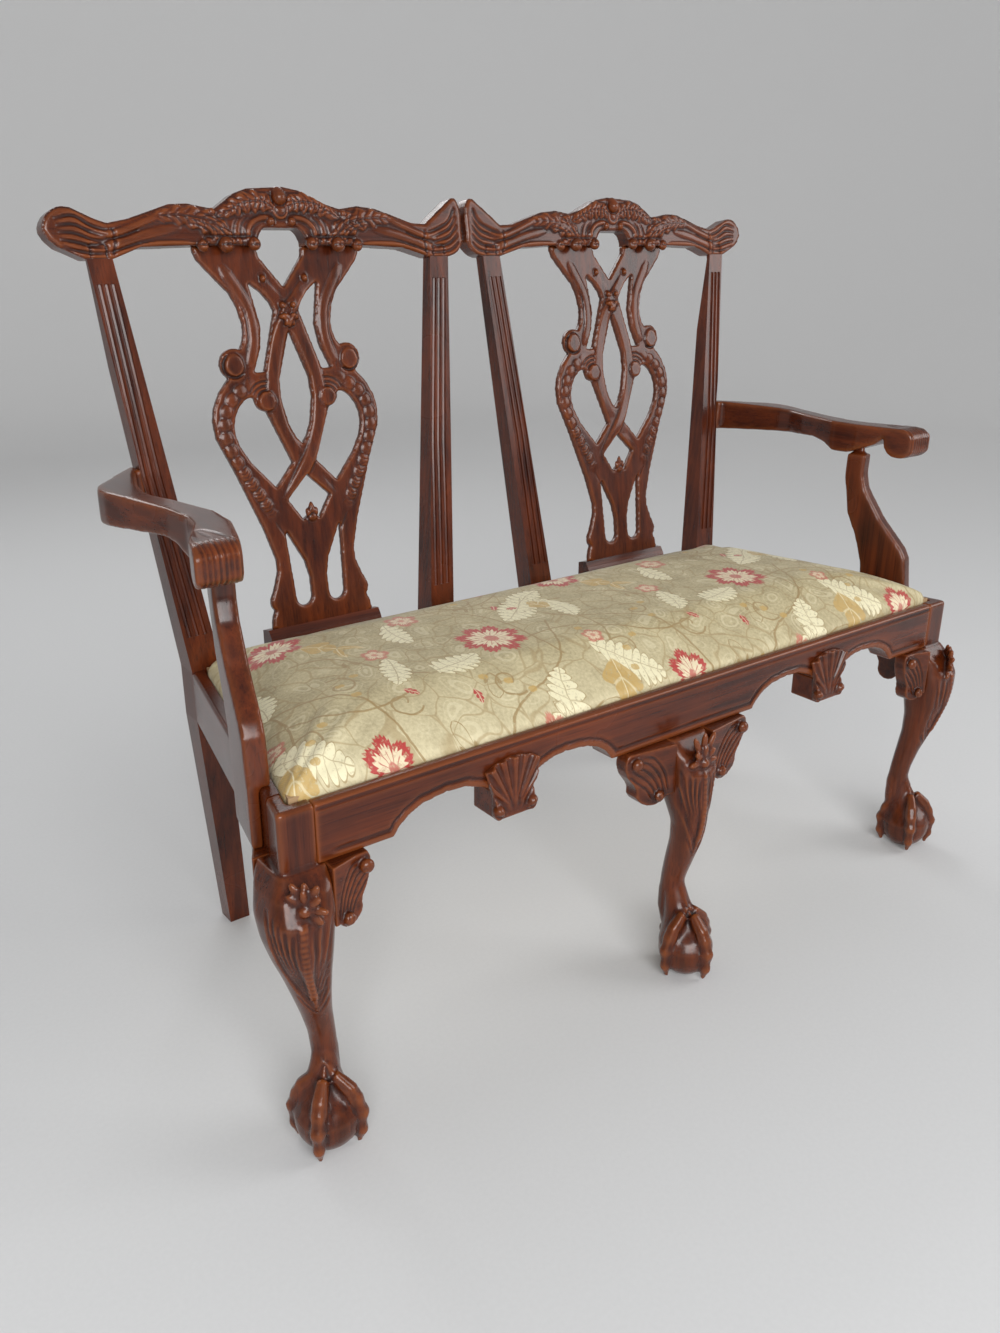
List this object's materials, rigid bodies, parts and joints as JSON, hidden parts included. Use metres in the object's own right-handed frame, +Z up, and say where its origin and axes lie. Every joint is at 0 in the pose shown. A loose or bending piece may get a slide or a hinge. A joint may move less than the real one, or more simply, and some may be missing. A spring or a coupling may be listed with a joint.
{
  "type": "chair-back settee",
  "caption": "Carved mahogany settee with two pierced chair backs, scrolled arms, cabriole legs on ball-and-claw feet and an upholstered drop-in seat.",
  "frame": {"origin": "on the floor, under the middle of the settee's bounding box", "axes": "+X along the settee to the sitter's left, +Y to the back, +Z up"},
  "size_m": [1.2112, 0.5926, 1.0085],
  "materials": {
    "mahogany": "french polished",
    "beech": "bare",
    "seat_fabric": "woven floral",
    "stuffing": "curled hair and wadding",
    "hessian": "plain weave",
    "jute_webbing": "twill webbing",
    "black_cloth": "plain weave",
    "screw_steel": "dull",
    "tack_steel": "blued"
  },
  "bodies": {
    "frame": {"apron_shell_left": "mahogany", "apron_shell_right": "mahogany", "arm_left": "mahogany", "arm_right": "mahogany", "arm_support_left": "mahogany", "arm_support_right": "mahogany", "arm_support_screws": "screw_steel", "center_leg_screws": "screw_steel", "corner_block_front_left": "beech", "corner_block_front_right": "beech", "corner_block_rear_left": "beech", "corner_block_rear_right": "beech", "corner_block_screws": "screw_steel", "crest_rail_left": "mahogany", "crest_rail_right": "mahogany", "front_leg_center": "mahogany", "front_leg_left": "mahogany", "front_leg_right": "mahogany", "front_rail": "mahogany", "inner_stile_left": "mahogany", "inner_stile_right": "mahogany", "knee_bracket_center_left": "mahogany", "knee_bracket_center_right": "mahogany", "knee_bracket_left_front": "mahogany", "knee_bracket_left_side": "mahogany", "knee_bracket_right_front": "mahogany", "knee_bracket_right_side": "mahogany", "medial_rail": "beech", "rear_post_left": "mahogany", "rear_post_right": "mahogany", "rear_rail": "mahogany", "rear_seat_cleat": "beech", "side_rail_left": "mahogany", "side_rail_right": "mahogany", "splat_left": "mahogany", "splat_right": "mahogany", "splat_shoe_left": "mahogany", "splat_shoe_right": "mahogany"},
    "drop_in_seat": {"seat_cover": "seat_fabric", "seat_dust_cover": "black_cloth", "seat_frame_back": "beech", "seat_frame_front": "beech", "seat_frame_left": "beech", "seat_frame_middle": "beech", "seat_frame_right": "beech", "seat_hessian": "hessian", "seat_padding": "stuffing", "seat_tacks": "tack_steel", "seat_webbing": "jute_webbing"}
  },
  "joints": [
    {"name": "seat_lift", "type": "slide", "parent": "frame", "child": "drop_in_seat", "axis": [0, 0, 1], "range_m": [0, 0.08]}
  ]
}
